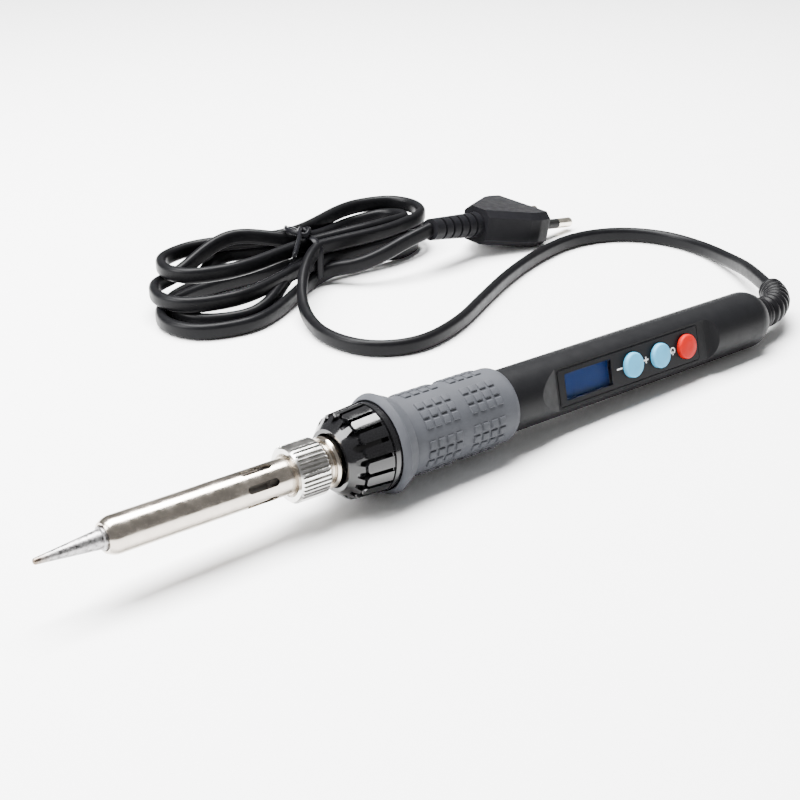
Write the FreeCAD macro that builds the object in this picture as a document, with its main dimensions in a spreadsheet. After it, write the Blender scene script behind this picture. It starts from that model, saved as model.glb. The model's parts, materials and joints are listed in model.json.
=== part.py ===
"""Soldering iron with a digital handle, a finned collar, a slotted barrel and a corded plug.

The iron is drawn along its own axis: x runs from the tip's point to the tail, z points out of the
display panel and y lies across it. One placement, "resting", then lays it on its rim and tail.
The plug has a frame of its own with x along its pins. All sizes are in millimetres.
"""

import FreeCAD, Part
import math
import os
import Sketcher

from FreeCAD import Placement, Rotation, Vector

SIZES = {
    # soldering tip
    "tip_end_radius": 0.85,
    "tip_cone_length": 16.6,
    "tip_cone_radius": 2.5,
    "tip_ring_radius": 3.1,
    "tip_flange_start": 19.4,
    "tip_flange_radius": 3.9,
    "tip_flange_length": 1.2,
    "tip_shank_radius": 3.25,
    "tip_length": 42,
    "tip_bore_radius": 2.0,
    "tip_bore_start": 19.5,
    # slotted barrel sleeve
    "barrel_start": 18,
    "barrel_end": 73.5,
    "barrel_radius": 5,
    "barrel_wall": 0.6,
    "nose_length": 3.2,
    "nose_lip": 1.25,
    "nose_hole_radius": 3.35,
    "nose_face_radius": 3.9,
    "nose_round_radius": 5.2,
    "barrel_land_start": 70.6,
    "barrel_land_radius": 5.17,
    "barrel_flange_radius": 5.9,
    "barrel_flange_length": 1.1,
    "slot_count": 6,
    "slot_start": 56.5,
    "slot_end": 65.8,
    "slot_width": 2.1,
    "slot_phase": -8.3,
    # knurled nut
    "nut_start": 71,
    "nut_length": 9.2,
    "nut_radius": 7.9,
    "nut_chamfer": 0.7,
    "nut_rear_chamfer": 0.4,
    "nut_mouth_radius": 5.95,
    "nut_lip_radius": 5.25,
    "nut_lip_end": 72.35,
    "nut_bore_radius": 6.5,
    "knurl_count": 40,
    "knurl_depth": 0.45,
    "knurl_half_width": 0.38,
    # threaded ferrule
    "ferrule_start": 73.6,
    "ferrule_bore_radius": 4.7,
    "thread_radius": 6.4,
    "thread_depth": 0.45,
    "thread_pitch": 1,
    "thread_turns": 8,
    "ferrule_lip_start": 82.7,
    "ferrule_lip_length": 1.8,
    "ferrule_lip_radius": 7.2,
    "ferrule_body_radius": 6.5,
    "ferrule_flange_start": 99.4,
    "ferrule_flange_length": 1.5,
    "ferrule_flange_radius": 9,
    # heater
    "heater_start": 20,
    "heater_radius": 1.9,
    "heater_base_start": 64,
    "heater_base_end": 80,
    "heater_base_radius": 4,
    "insulator_start": 74.6,
    "insulator_length": 4.5,
    "lead_radius": 0.4,
    "lead_offset": 1.6,
    # finned collar
    "collar_start": 85,
    "collar_hole_radius": 7.6,
    "collar_face_radius": 8.94,
    "collar_cone_end": 88.2,
    "collar_cone_radius": 11.6,
    "collar_notch_width": 0.7,
    "collar_notch_depth": 0.7,
    "fin_start_radius": 11.95,
    "fin_end": 97.2,
    "fin_end_radius": 12.6,
    "collar_ring_radius": 12.5,
    "collar_skirt_end": 104,
    "collar_cavity_start": 87.2,
    "collar_cavity_end": 101,
    "collar_cavity_radius": 9.3,
    "spigot_radius": 7.9,
    "spigot_end": 112,
    "spigot_bore_radius": 6,
    "fin_count": 18,
    "fin_gap_top": 13.5,
    "fin_gap_root": 10.1,
    "fin_gap_half_width": 0.6,
    "fin_gap_head_half_width": 1.25,
    "collar_screw_circle": 7.9,
    "collar_screw_radius": 0.8,
    "collar_screw_length": 4.3,
    "collar_screw_head_radius": 1.3,
    "collar_screw_head_height": 0.8,
    # rubber grip
    "grip_start": 99.84,
    "grip_end": 144.4,
    "grip_rim_radius": 14.31,
    "grip_rim_peak": 101.7,
    "grip_rim_end": 105.35,
    "grip_rim_end_radius": 12.74,
    "grip_foot": 106.3,
    "grip_radius": 11.2,
    "grip_mouth_radius": 12.85,
    "grip_tail_radius": 10.45,
    "grip_tail_length": 1.8,
    # handle shells
    "handle_start": 104.15,
    "handle_radius": 9.5,
    "handle_bore_radius": 8,
    "handle_round_start": 255,
    "handle_end": 262,
    "handle_end_radius": 5.8,
    "handle_round_radius": 8.47,
    "tail_hole_radius": 4.5,
    "tail_wall_start": 258.5,
    "panel_pocket_start": 148,
    "panel_pocket_half_width": 6.3,
    "panel_inner_height": 5.4,
    "panel_height": 7,
    "panel_ramp_start": 154.6,
    "panel_flat_start": 162.4,
    "panel_flat_end": 228.6,
    "panel_scoop_end": 232.6,
    "overlay_start": 163.3,
    "overlay_end": 224.8,
    "overlay_half_width": 5.5,
    "overlay_corner": 0.8,
    "overlay_sink": 0.25,
    "overlay_thickness": 0.4,
    "overlay_gap": 0.25,
    "overlay_bevel": 0.15,
    "window_start": 166,
    "window_end": 185.4,
    "window_half_width": 4,
    "window_corner": 0.4,
    "window_gap": 0.05,
    # buttons
    "minus_button_place": 194.5,
    "button_pitch": 12.25,
    "button_radius": 3.9,
    "button_edge": 0.8,
    "button_top": 9,
    "button_crown": 0.25,
    "button_foot": 4.5,
    "button_flange_radius": 4.6,
    "button_flange_height": 0.75,
    "button_hole_radius": 4.1,
    "plunger_radius": 1.7,
    "plunger_foot": 2.7,
    "switch_side": 6,
    "switch_height": 3.5,
    "switch_hole_radius": 1.78,
    "switch_hole_foot": 1.9,
    # circuit board and what is on it
    "board_start": 157,
    "board_end": 240,
    "board_half_width": 6,
    "board_thickness": 1.6,
    "lcd_start": 164.5,
    "lcd_end": 187.5,
    "lcd_half_width": 5.8,
    "lcd_height": 5.2,
    # shell screws
    "front_screw_place": 151,
    "rear_screw_place": 248,
    "screw_spacing": 10.4,
    "screw_radius": 1,
    "screw_head_radius": 1.7,
    "screw_head_height": 1.2,
    "screw_seat": 6.3,
    "screw_top": 4,
    "boss_radius": 2,
    # strain relief at the tail
    "relief_radius": 4.8,
    "relief_flange_radius": 6.2,
    "relief_flange_length": 1.8,
    "relief_straight": 3,
    "relief_bend_radius": 25,
    "relief_bend_angle": 60,
    "relief_neck_radius": 4.35,
    "relief_lock_start": 255.2,
    "relief_lock_radius": 5.2,
    # cord
    "cord_width": 5.8,
    "cord_thickness": 3.6,
    # hank of cord, seen from above
    "hank_height": 17.4,
    "hank_left_start": -24,
    "hank_left_end": 40,
    "hank_left_half_width": 27.5,
    "hank_left_centre": 136,
    "hank_right_start": 50,
    "hank_right_end": 106,
    "hank_right_half_width": 17,
    "hank_right_centre": 146.5,
    "waist_start": 30,
    "waist_end": 62,
    "waist_near": 131,
    "waist_far": 154,
    "waist_foot": 1.2,
    "waist_top": 17,
    "tie_start": 42.6,
    "tie_length": 4.4,
    "tie_thickness": 1,
    "tie_gap": 0.1,
    # plug
    "plug_x": 141.85,
    "plug_y": 125.2,
    "plug_z": 6.8,
    "plug_turn": 7,
    "plug_dip": 10,
    "plug_roll": 2,
    "plug_thickness": 13.7,
    "plug_face_half_width": 14.6,
    "plug_half_width": 15.4,
    "plug_shoulder": 5.5,
    "plug_waist": 11,
    "plug_neck_half_width": 6.4,
    "plug_length": 30,
    "plug_bevel": 2.4,
    "plug_boot_length": 26,
    "plug_boot_radius": 4.9,
    "plug_boot_end_radius": 4.1,
    "plug_boot_rings": 5,
    "pin_spacing": 18.2,
    "pin_length": 19,
    "pin_metal_length": 9,
    "pin_radius": 2,
    "pin_round": 0.9,
    "pin_core_radius": 1.45,
    "pin_root_depth": 6,
    "sleeve_radius": 2,
}

document = FreeCAD.newDocument("soldering_iron")
parts = []


class Size:
    """A number together with the sheet expression that it comes from."""

    def __init__(self, value, text):
        self.value = value
        self.text = text

    def joined(self, sign, other, value):
        other_text = other.text if isinstance(other, Size) else repr(other)
        return Size(value, f"({self.text} {sign} {other_text})")

    def __add__(self, other):
        return self.joined("+", other, self.value + plain(other))

    def __sub__(self, other):
        return self.joined("-", other, self.value - plain(other))

    def __mul__(self, other):
        return self.joined("*", other, self.value * plain(other))

    def __truediv__(self, other):
        return self.joined("/", other, self.value / plain(other))

    def __neg__(self):
        return Size(-self.value, f"(0 - {self.text})")


def plain(size):
    """The bare number of a Size, or of a number."""
    return size.value if isinstance(size, Size) else float(size)


def sized(number):
    """A Size, made from a plain number where it isn't one already."""
    return number if isinstance(number, Size) else Size(float(number), repr(float(number)))


class Sheet:
    """The driving dimensions, read as sheet.name."""

    def __init__(self, sizes):
        self.table = document.addObject("Spreadsheet::Sheet", "Dimensions")
        for row, (name, value) in enumerate(sizes.items(), start=1):
            self.table.set(f"A{row}", name)
            self.table.set(f"B{row}", str(value))
            self.table.setAlias(f"B{row}", name)
        self.sizes = sizes
        document.recompute()

    def __getattr__(self, name):
        return Size(float(self.sizes[name]), f"Dimensions.{name}")


sheet = Sheet(SIZES)


def bind(thing, **properties):
    """Set properties of a document object and tie each one to the sheet."""
    for name, size in properties.items():
        whole = isinstance(getattr(thing, name), int)
        setattr(thing, name, int(plain(size)) if whole else plain(size))
        if isinstance(size, Size):
            thing.setExpression(name, size.text)


def keep(thing, name, placement):
    """Name a finished sub-part, place it and list it for export."""
    thing.Label = name
    thing.Placement = placement
    parts.append(thing)
    return thing


# ---------------------------------------------------------------- sketches


def origin_item(body, role):
    return next(item for item in body.Origin.OriginFeatures if item.Role == role)


def new_sketch(body, plane="XY_Plane", height=0.0):
    """A sketch on one of the body's origin planes, or at a height above it."""
    sketch = body.newObject("Sketcher::SketchObject", "Sketch")
    sketch.AttachmentSupport = [(origin_item(body, plane), "")]
    sketch.MapMode = "FlatFace"
    if plain(height):
        sketch.AttachmentOffset = Placement(Vector(0, 0, plain(height)), Rotation())
        if isinstance(height, Size):
            sketch.setExpression("AttachmentOffset.Base.z", height.text)
    return sketch


def hold(sketch, kind, geometry, point, size):
    """Fix one coordinate of a sketch point, on the axis where it is zero."""
    if plain(size) == 0:
        axis = -2 if kind == "DistanceX" else -1
        sketch.addConstraint(Sketcher.Constraint("PointOnObject", geometry, point, axis))
        return
    index = sketch.addConstraint(Sketcher.Constraint(kind, geometry, point, plain(size)))
    if isinstance(size, Size):
        sketch.setExpression(f"Constraints[{index}]", size.text)


def hold_radius(sketch, geometry, radius):
    index = sketch.addConstraint(Sketcher.Constraint("Radius", geometry, plain(radius)))
    if isinstance(radius, Size):
        sketch.setExpression(f"Constraints[{index}]", radius.text)


def arc_between(start, end, radius, clockwise):
    """The shorter arc of a radius from start to end."""
    chord = end - start
    side = chord.cross(Vector(0, 0, 1)).normalize() * (1 if clockwise else -1)
    rise = math.sqrt(max(radius**2 - chord.Length**2 / 4, 0))
    centre = (start + end) / 2 + side * rise
    first, last = (end, start) if clockwise else (start, end)
    angles = [math.atan2(p.y - centre.y, p.x - centre.x) for p in (first, last)]
    circle = Part.Circle(centre, Vector(0, 0, 1), radius)
    return Part.ArcOfCircle(circle, angles[0], angles[1])


def draw_outline(sketch, corners):
    """A closed outline. A corner is (x, y), or (x, y, radius, "in" or "out") where the side that
    leads to it is an arc: "out" turns clockwise, "in" turns anticlockwise."""
    points = [Vector(plain(c[0]), plain(c[1]), 0) for c in corners]
    sides = []
    for index, start in enumerate(points):
        target = (index + 1) % len(points)
        corner = corners[target]
        if len(corner) == 2:
            geometry = sketch.addGeometry(Part.LineSegment(start, points[target]))
            sides.append((geometry, 1, 2))
            continue
        clockwise = corner[3] == "out"
        arc = arc_between(start, points[target], plain(corner[2]), clockwise)
        geometry = sketch.addGeometry(arc)
        sides.append((geometry, 2, 1) if clockwise else (geometry, 1, 2))
    for index, (geometry, first, last) in enumerate(sides):
        following, following_first, _ = sides[(index + 1) % len(sides)]
        sketch.addConstraint(
            Sketcher.Constraint("Coincident", geometry, last, following, following_first)
        )
    for (geometry, first, _), corner in zip(sides, corners):
        hold(sketch, "DistanceX", geometry, first, corner[0])
        hold(sketch, "DistanceY", geometry, first, corner[1])
    for index, corner in enumerate(corners):
        if len(corner) == 4:
            hold_radius(sketch, sides[index - 1][0], corner[2])
    return sketch


def draw_circle(sketch, x, y, radius):
    circle = Part.Circle(Vector(plain(x), plain(y), 0), Vector(0, 0, 1), plain(radius))
    geometry = sketch.addGeometry(circle)
    hold(sketch, "DistanceX", geometry, 3, x)
    hold(sketch, "DistanceY", geometry, 3, y)
    hold_radius(sketch, geometry, radius)


def draw_rounded_box(sketch, x0, x1, y0, y1, corner):
    """A rectangle with rounded corners."""
    draw_outline(
        sketch,
        [
            (x0 + corner, y0, corner, "in"),
            (x1 - corner, y0),
            (x1, y0 + corner, corner, "in"),
            (x1, y1 - corner),
            (x1 - corner, y1, corner, "in"),
            (x0 + corner, y1),
            (x0, y1 - corner, corner, "in"),
            (x0, y0 + corner),
        ],
    )


def draw_slot(sketch, x0, x1, centre, half_width):
    """A slot with round ends, along x."""
    near = sized(centre) - half_width
    far = sized(centre) + half_width
    corners = [
        (x0 + half_width, near, half_width, "in"),
        (x1 - half_width, near),
        (x1, centre, half_width, "in"),
        (x1 - half_width, far, half_width, "in"),
        (x0 + half_width, far),
        (x0, centre, half_width, "in"),
    ]
    draw_outline(sketch, corners)


# ---------------------------------------------------------------- features


def new_body():
    return document.addObject("PartDesign::Body", "Body")


def revolve(body, corners, angle=360, plane="XY_Plane", axis="H_Axis", name="Revolution"):
    """Turn an outline round an axis of its sketch."""
    sketch = draw_outline(new_sketch(body, plane), corners)
    feature = body.newObject(f"PartDesign::{name}", name)
    feature.Profile = sketch
    feature.ReferenceAxis = (sketch, [axis])
    feature.Angle = angle
    return feature


def pad(body, sketch, length, symmetric=False):
    feature = body.newObject("PartDesign::Pad", "Pad")
    feature.Profile = sketch
    feature.SideType = "Symmetric" if symmetric else "One side"
    bind(feature, Length=length)
    return feature


def pocket(body, sketch, length=None, forward=False, symmetric=False):
    """Cut a sketch out of the body, against its plane's normal unless forward."""
    document.recompute()
    before = body.Shape.Volume
    feature = body.newObject("PartDesign::Pocket", "Pocket")
    feature.Profile = sketch
    feature.Reversed = forward
    feature.SideType = "Symmetric" if symmetric else "One side"
    if length is None:
        feature.Type = "ThroughAll"
    else:
        bind(feature, Length=length)
    document.recompute()
    if not body.Shape.Volume < before - 1e-6:
        raise RuntimeError(f"a pocket of {body.Label} cuts nothing")
    return feature


def repeat_round(body, feature, count, axis="X_Axis"):
    """Repeat a feature round one of the body's own axes."""
    pattern = body.newObject("PartDesign::PolarPattern", "PolarPattern")
    pattern.Originals = [feature]
    pattern.Axis = (origin_item(body, axis), [""])
    pattern.Angle = 360
    bind(pattern, Occurrences=count)
    body.Tip = pattern
    return pattern


def bevel(body, size, wanted):
    """Chamfer the edges of the body that pass a test."""
    document.recompute()
    tip = body.Tip
    names = [f"Edge{n}" for n, edge in enumerate(tip.Shape.Edges, start=1) if wanted(edge)]
    feature = body.newObject("PartDesign::Chamfer", "Chamfer")
    feature.Base = (tip, names)
    bind(feature, Size=size)
    return feature


def new_cylinder(radius, length, x=0, y=0, z=0, along="x"):
    """A cylinder from (x, y, z), along x or z."""
    cylinder = document.addObject("Part::Cylinder", "Cylinder")
    bind(cylinder, Radius=radius, Height=length)
    turn = Rotation(Vector(0, 1, 0), 90) if along == "x" else Rotation()
    cylinder.Placement = Placement(Vector(plain(x), plain(y), plain(z)), turn)
    bind_place(cylinder, x, y, z)
    return cylinder


def new_box(x0, x1, y0, y1, z0, z1):
    box = document.addObject("Part::Box", "Box")
    for name, low, high in (("Length", x0, x1), ("Width", y0, y1), ("Height", z0, z1)):
        bind(box, **{name: sized(high) - low})
    box.Placement = Placement(Vector(plain(x0), plain(y0), plain(z0)), Rotation())
    bind_place(box, x0, y0, z0)
    return box


def bind_place(thing, x, y, z):
    for axis, size in (("x", x), ("y", y), ("z", z)):
        if isinstance(size, Size):
            thing.setExpression(f"Placement.Base.{axis}", size.text)


def joined(*things):
    """Things that touch, as one solid."""
    fusion = document.addObject("Part::MultiFuse", "Fusion")
    fusion.Shapes = list(things)
    return fusion


def grouped(*things):
    """Solids that make one sub-part, which is placed as a whole."""
    group = document.addObject("Part::Compound", "Group")
    group.Links = list(things)
    return group


def cut(base, tool):
    result = document.addObject("Part::Cut", "Cut")
    result.Base = base
    result.Tool = tool
    return result


# ---------------------------------------------------------------- where things lie


def resting_placement():
    """The iron's frame, laid so that the grip's rim and the round tail both touch z = 0."""
    rim_place, rim = plain(sheet.grip_rim_peak), plain(sheet.grip_rim_radius)
    tail_place, tail = plain(sheet.handle_round_start), plain(sheet.handle_radius)
    tilt = math.atan((rim - tail) / (tail_place - rim_place))
    height = rim * math.cos(tilt) + rim_place * math.sin(tilt)
    length = plain(sheet.handle_end) * math.cos(tilt)
    lean = Rotation(Vector(0, 1, 0), math.degrees(tilt))
    return Placement(Vector(-length / 2, 0, height), lean)


PANEL_TURN = 74

upright = resting_placement()
resting = upright * Placement(Vector(), Rotation(Vector(1, 0, 0), PANEL_TURN))


def rolled(angle):
    """The resting placement, turned about the iron's axis."""
    return resting * Placement(Vector(), Rotation(Vector(1, 0, 0), plain(angle)))


def plug_placement():
    turn = Rotation(Vector(0, 0, 1), plain(sheet.plug_turn))
    dip = Rotation(Vector(0, 1, 0), plain(sheet.plug_dip))
    roll = Rotation(Vector(1, 0, 0), plain(sheet.plug_roll))
    face = Vector(plain(sheet.plug_x), plain(sheet.plug_y), plain(sheet.plug_z))
    return Placement(face, turn * dip * roll)


at_plug = plug_placement()


# ---------------------------------------------------------------- hot end


def make_tip():
    s = sheet
    flange_end = s.tip_flange_start + s.tip_flange_length
    body = new_body()
    revolve(
        body,
        [
            (0, 0),
            (0, s.tip_end_radius * 0.35),
            (s.tip_end_radius * 0.7, s.tip_end_radius, s.tip_end_radius * 0.75, "out"),
            (s.tip_cone_length, s.tip_cone_radius),
            (s.tip_cone_length + 0.5, s.tip_cone_radius),
            (s.tip_cone_length + 0.8, s.tip_ring_radius),
            (s.tip_flange_start, s.tip_ring_radius),
            (s.tip_flange_start, s.tip_flange_radius),
            (flange_end, s.tip_flange_radius),
            (flange_end, s.tip_shank_radius),
            (s.tip_length, s.tip_shank_radius),
            (s.tip_length, s.tip_bore_radius),
            (s.tip_bore_start, s.tip_bore_radius),
            (s.tip_bore_start - 1, 0),
        ],
    )
    keep(body, "soldering_tip", resting)


def make_barrel():
    """A thin sleeve whose rounded nose holds the tip's flange, with a ring of vent slots."""
    s = sheet
    bore = s.barrel_radius - s.barrel_wall
    lip = s.barrel_start + s.nose_lip
    flange = s.barrel_end - s.barrel_flange_length
    body = new_body()
    revolve(
        body,
        [
            (s.barrel_start, s.nose_hole_radius),
            (s.barrel_start, s.nose_face_radius),
            (s.barrel_start + s.nose_length, s.barrel_radius, s.nose_round_radius, "out"),
            (s.barrel_land_start, s.barrel_radius),
            (s.barrel_land_start, s.barrel_land_radius),
            (flange, s.barrel_land_radius),
            (flange, s.barrel_flange_radius),
            (s.barrel_end, s.barrel_flange_radius),
            (s.barrel_end, bore),
            (s.barrel_start + s.nose_length, bore),
            (lip, bore - 0.3),
            (lip, s.nose_hole_radius),
        ],
    )
    sketch = new_sketch(body)
    draw_slot(sketch, s.slot_start, s.slot_end, 0, s.slot_width / 2)
    slot = pocket(body, sketch, s.barrel_radius + 1, forward=True)
    repeat_round(body, slot, s.slot_count)
    keep(body, "barrel_sleeve", rolled(s.slot_phase))


def make_nut():
    """A nut with a straight knurl, turned down inside to hold the barrel's flange."""
    s = sheet
    end = s.nut_start + s.nut_length
    rear = s.nut_radius - s.nut_rear_chamfer
    body = new_body()
    revolve(
        body,
        [
            (s.nut_start, s.nut_mouth_radius),
            (s.nut_start, s.nut_radius - s.nut_chamfer),
            (s.nut_start + s.nut_chamfer, s.nut_radius),
            (end - s.nut_rear_chamfer, s.nut_radius),
            (end, rear),
            (end, s.nut_bore_radius),
            (s.nut_lip_end, s.nut_bore_radius),
            (s.nut_lip_end, s.nut_lip_radius),
            (s.nut_start + s.nut_chamfer, s.nut_lip_radius),
        ],
    )
    sketch = new_sketch(body, "YZ_Plane", end + 1)
    root = s.nut_radius - s.knurl_depth
    top = s.nut_radius + s.knurl_depth
    draw_outline(
        sketch,
        [(0, root), (s.knurl_half_width * 2, top), (-(s.knurl_half_width * 2), top)],
    )
    groove = pocket(body, sketch, s.nut_length + 2)
    repeat_round(body, groove, s.knurl_count)
    keep(body, "knurled_nut", resting)


def make_ferrule():
    """The turned steel tube that the nut screws on to, with its thread as rings."""
    s = sheet
    root = s.thread_radius - s.thread_depth
    lip_end = s.ferrule_lip_start + s.ferrule_lip_length
    lip_edge = s.ferrule_lip_radius - s.ferrule_lip_length / 2 + 0.2
    corners = [(s.ferrule_start, s.ferrule_bore_radius), (s.ferrule_start, root)]
    for turn in range(int(plain(s.thread_turns))):
        start = s.ferrule_start + 0.4 + s.thread_pitch * turn
        corners += [
            (start, root),
            (start + s.thread_pitch * 0.4, s.thread_radius),
            (start + s.thread_pitch * 0.55, s.thread_radius),
            (start + s.thread_pitch * 0.95, root),
        ]
    corners += [
        (s.ferrule_lip_start, root),
        (s.ferrule_lip_start, lip_edge),
        (s.ferrule_lip_start + s.ferrule_lip_length / 2, s.ferrule_lip_radius, 1, "out"),
        (lip_end, s.ferrule_body_radius, 1.2, "out"),
        (s.ferrule_flange_start, s.ferrule_body_radius),
        (s.ferrule_flange_start, s.ferrule_flange_radius),
        (s.ferrule_flange_start + s.ferrule_flange_length, s.ferrule_flange_radius),
        (s.ferrule_flange_start + s.ferrule_flange_length, s.ferrule_bore_radius),
    ]
    body = new_body()
    revolve(body, corners)
    drill_collar_screws(body, s.ferrule_flange_start - 0.5, s.ferrule_flange_length + 1)
    keep(body, "threaded_ferrule", resting)


def drill_collar_screws(body, start, length):
    s = sheet
    sketch = new_sketch(body, "YZ_Plane", start + length)
    draw_circle(sketch, 0, s.collar_screw_circle, s.collar_screw_radius)
    hole = pocket(body, sketch, length)
    repeat_round(body, hole, 3)


def make_heater():
    s = sheet
    base_length = s.heater_base_end - s.heater_base_start
    rod = new_cylinder(s.heater_radius, s.heater_base_start - s.heater_start, s.heater_start)
    keep(grouped(rod), "heater_rod", resting)
    base = new_cylinder(s.heater_base_radius, base_length, s.heater_base_start)
    keep(grouped(base), "heater_base", resting)
    body = new_body()
    end = s.insulator_start + s.insulator_length
    revolve(
        body,
        [
            (s.insulator_start, s.heater_base_radius),
            (s.insulator_start, s.ferrule_bore_radius),
            (end, s.ferrule_bore_radius),
            (end, s.heater_base_radius),
        ],
    )
    keep(body, "insulator_ring", resting)
    leads = [
        new_cylinder(
            s.lead_radius,
            s.board_start - s.heater_base_end,
            s.heater_base_end,
            s.lead_offset * side,
            -(s.board_thickness / 2) + s.lead_radius * 1.1 * level,
        )
        for side in (-1, 1)
        for level in (-1, 1)
    ]
    keep(grouped(*leads), "heater_leads", resting)


# ---------------------------------------------------------------- collar and grip


def make_collar():
    """The heat collar: a cone and a barrel with gaps between fins, and a spigot for the shells."""
    s = sheet
    notch_end = s.collar_cone_end + s.collar_notch_width
    notch_root = s.collar_cone_radius - s.collar_notch_depth
    body = new_body()
    revolve(
        body,
        [
            (s.collar_start, s.collar_hole_radius),
            (s.collar_start, s.collar_face_radius - 0.3),
            (s.collar_start + 0.3, s.collar_face_radius),
            (s.collar_cone_end, s.collar_cone_radius),
            (s.collar_cone_end, notch_root),
            (notch_end, notch_root),
            (notch_end, s.fin_start_radius),
            (s.fin_end, s.fin_end_radius),
            (s.fin_end, s.fin_end_radius - 0.7),
            (s.fin_end + 0.7, s.fin_end_radius - 0.7),
            (s.fin_end + 0.7, s.collar_ring_radius),
            (s.collar_skirt_end, s.collar_ring_radius),
            (s.collar_skirt_end, s.spigot_radius),
            (s.spigot_end, s.spigot_radius),
            (s.spigot_end, s.spigot_bore_radius),
            (s.collar_cavity_end, s.spigot_bore_radius),
            (s.collar_cavity_end, s.collar_cavity_radius),
            (s.collar_cavity_start, s.collar_cavity_radius),
            (s.collar_cavity_start, s.collar_hole_radius),
        ],
    )
    wide, narrow = s.fin_gap_head_half_width, s.fin_gap_half_width
    head = s.collar_cone_end
    sketch = new_sketch(body, height=s.fin_gap_top)
    draw_outline(
        sketch,
        [
            (s.collar_start, 0),
            (head, -wide),
            (head + 0.7, -wide),
            (head + 1.3, -narrow),
            (s.fin_end, -narrow),
            (s.fin_end, narrow),
            (head + 1.3, narrow),
            (head + 0.7, wide),
            (head, wide),
        ],
    )
    gap = pocket(body, sketch, s.fin_gap_top - s.fin_gap_root)
    repeat_round(body, gap, s.fin_count)
    drill_collar_screws(body, s.collar_cavity_end - 0.5, s.collar_screw_length - 1)
    keep(body, "finned_collar", resting)


def make_collar_screws():
    s = sheet
    head_start = s.ferrule_flange_start - s.collar_screw_head_height
    screws = []
    for index in range(3):
        angle = math.radians(90 + 120 * index)
        y = s.collar_screw_circle * math.cos(angle)
        z = s.collar_screw_circle * math.sin(angle)
        head = new_cylinder(s.collar_screw_head_radius, s.collar_screw_head_height, head_start, y, z)
        shank = new_cylinder(s.collar_screw_radius, s.collar_screw_length, head_start, y, z)
        screws.append(joined(head, shank))
    keep(grouped(*screws), "collar_screws", resting)


def make_grip():
    s = sheet
    bore = s.handle_radius + 0.05
    body = new_body()
    revolve(
        body,
        [
            (s.grip_start, s.grip_mouth_radius),
            (s.grip_start, s.grip_rim_radius - 1.2),
            (s.grip_rim_peak - 0.35, s.grip_rim_radius - 0.1, 3, "out"),
            (s.grip_rim_peak, s.grip_rim_radius),
            (s.grip_rim_peak + 0.3, s.grip_rim_radius - 0.2),
            (s.grip_rim_end - 0.3, s.grip_rim_end_radius),
            (s.grip_rim_end, s.grip_rim_end_radius - 0.15),
            (s.grip_foot, s.grip_radius, 2.2, "in"),
            (s.grip_end - s.grip_tail_length, s.grip_radius),
            (s.grip_end, s.grip_tail_radius, 3, "out"),
            (s.grip_end, bore),
            (s.handle_start, bore),
            (s.handle_start, s.grip_mouth_radius),
        ],
    )
    keep(body, "rubber_grip", resting)


# ---------------------------------------------------------------- handle


def make_front_shell():
    """The half of the handle that carries the panel: a flat with a ramp and a scoop at its ends."""
    s = sheet
    body = new_body()
    revolve(
        body,
        [
            (s.handle_start, s.handle_bore_radius),
            (s.handle_start, s.handle_radius),
            (s.handle_round_start, s.handle_radius),
            (s.handle_end, s.handle_end_radius, s.handle_round_radius, "out"),
            (s.handle_end, s.tail_hole_radius),
            (s.panel_pocket_start, s.tail_hole_radius),
            (s.panel_pocket_start, s.handle_bore_radius),
        ],
        angle=180,
    )
    half = s.panel_pocket_half_width
    sketch = new_sketch(body)
    draw_outline(
        sketch,
        [
            (s.panel_pocket_start - 0.5, -half),
            (s.tail_wall_start, -half),
            (s.tail_wall_start, half),
            (s.panel_pocket_start - 0.5, half),
        ],
    )
    pocket(body, sketch, s.panel_inner_height, forward=True)
    top = s.handle_radius + 0.5
    sketch = new_sketch(body, "XZ_Plane")
    draw_outline(
        sketch,
        [
            (s.panel_flat_start, s.panel_height),
            (s.panel_flat_end, s.panel_height),
            (s.panel_scoop_end, s.handle_radius, 6, "in"),
            (s.panel_scoop_end, top),
            (s.panel_ramp_start, top),
            (s.panel_ramp_start, s.handle_radius),
        ],
    )
    pocket(body, sketch, s.handle_radius * 3, symmetric=True)
    gap = s.overlay_gap
    sketch = new_sketch(body, height=s.panel_height - s.overlay_sink)
    draw_rounded_box(
        sketch,
        s.overlay_start - gap,
        s.overlay_end + gap,
        -(s.overlay_half_width + gap),
        s.overlay_half_width + gap,
        s.overlay_corner + gap,
    )
    pocket(body, sketch, forward=True)
    sketch = new_sketch(body)
    draw_window(sketch, s.window_gap)
    pocket(body, sketch, forward=True)
    for _, place in button_places():
        sketch = new_sketch(body)
        draw_circle(sketch, place, 0, s.button_hole_radius)
        pocket(body, sketch, forward=True)
    add_bosses(body, s.panel_inner_height + 0.2, 1)
    keep(body, "handle_front_shell", resting)


def button_places():
    """Each button's name and its place along the handle."""
    first = sheet.minus_button_place
    names = ("minus", "plus", "power")
    return [(name, first + sheet.button_pitch * n) for n, name in enumerate(names)]


def draw_window(sketch, gap):
    s = sheet
    draw_rounded_box(
        sketch,
        s.window_start - gap,
        s.window_end + gap,
        -(s.window_half_width + gap),
        s.window_half_width + gap,
        s.window_corner + gap,
    )


def screw_places():
    s = sheet
    half = s.screw_spacing / 2
    return [(x, y) for x in (s.front_screw_place, s.rear_screw_place) for y in (half, -half)]


def add_bosses(body, height, side):
    """Bosses for the shell screws, from the seam towards the shell's wall."""
    s = sheet
    for x, y in screw_places():
        sketch = new_sketch(body)
        draw_circle(sketch, x, y, s.boss_radius)
        boss = pad(body, sketch, height)
        boss.Reversed = side < 0
        sketch = new_sketch(body)
        draw_circle(sketch, x, y, s.screw_radius)
        depth = s.screw_top if side > 0 else None
        pocket(body, sketch, depth, forward=side > 0)


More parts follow.
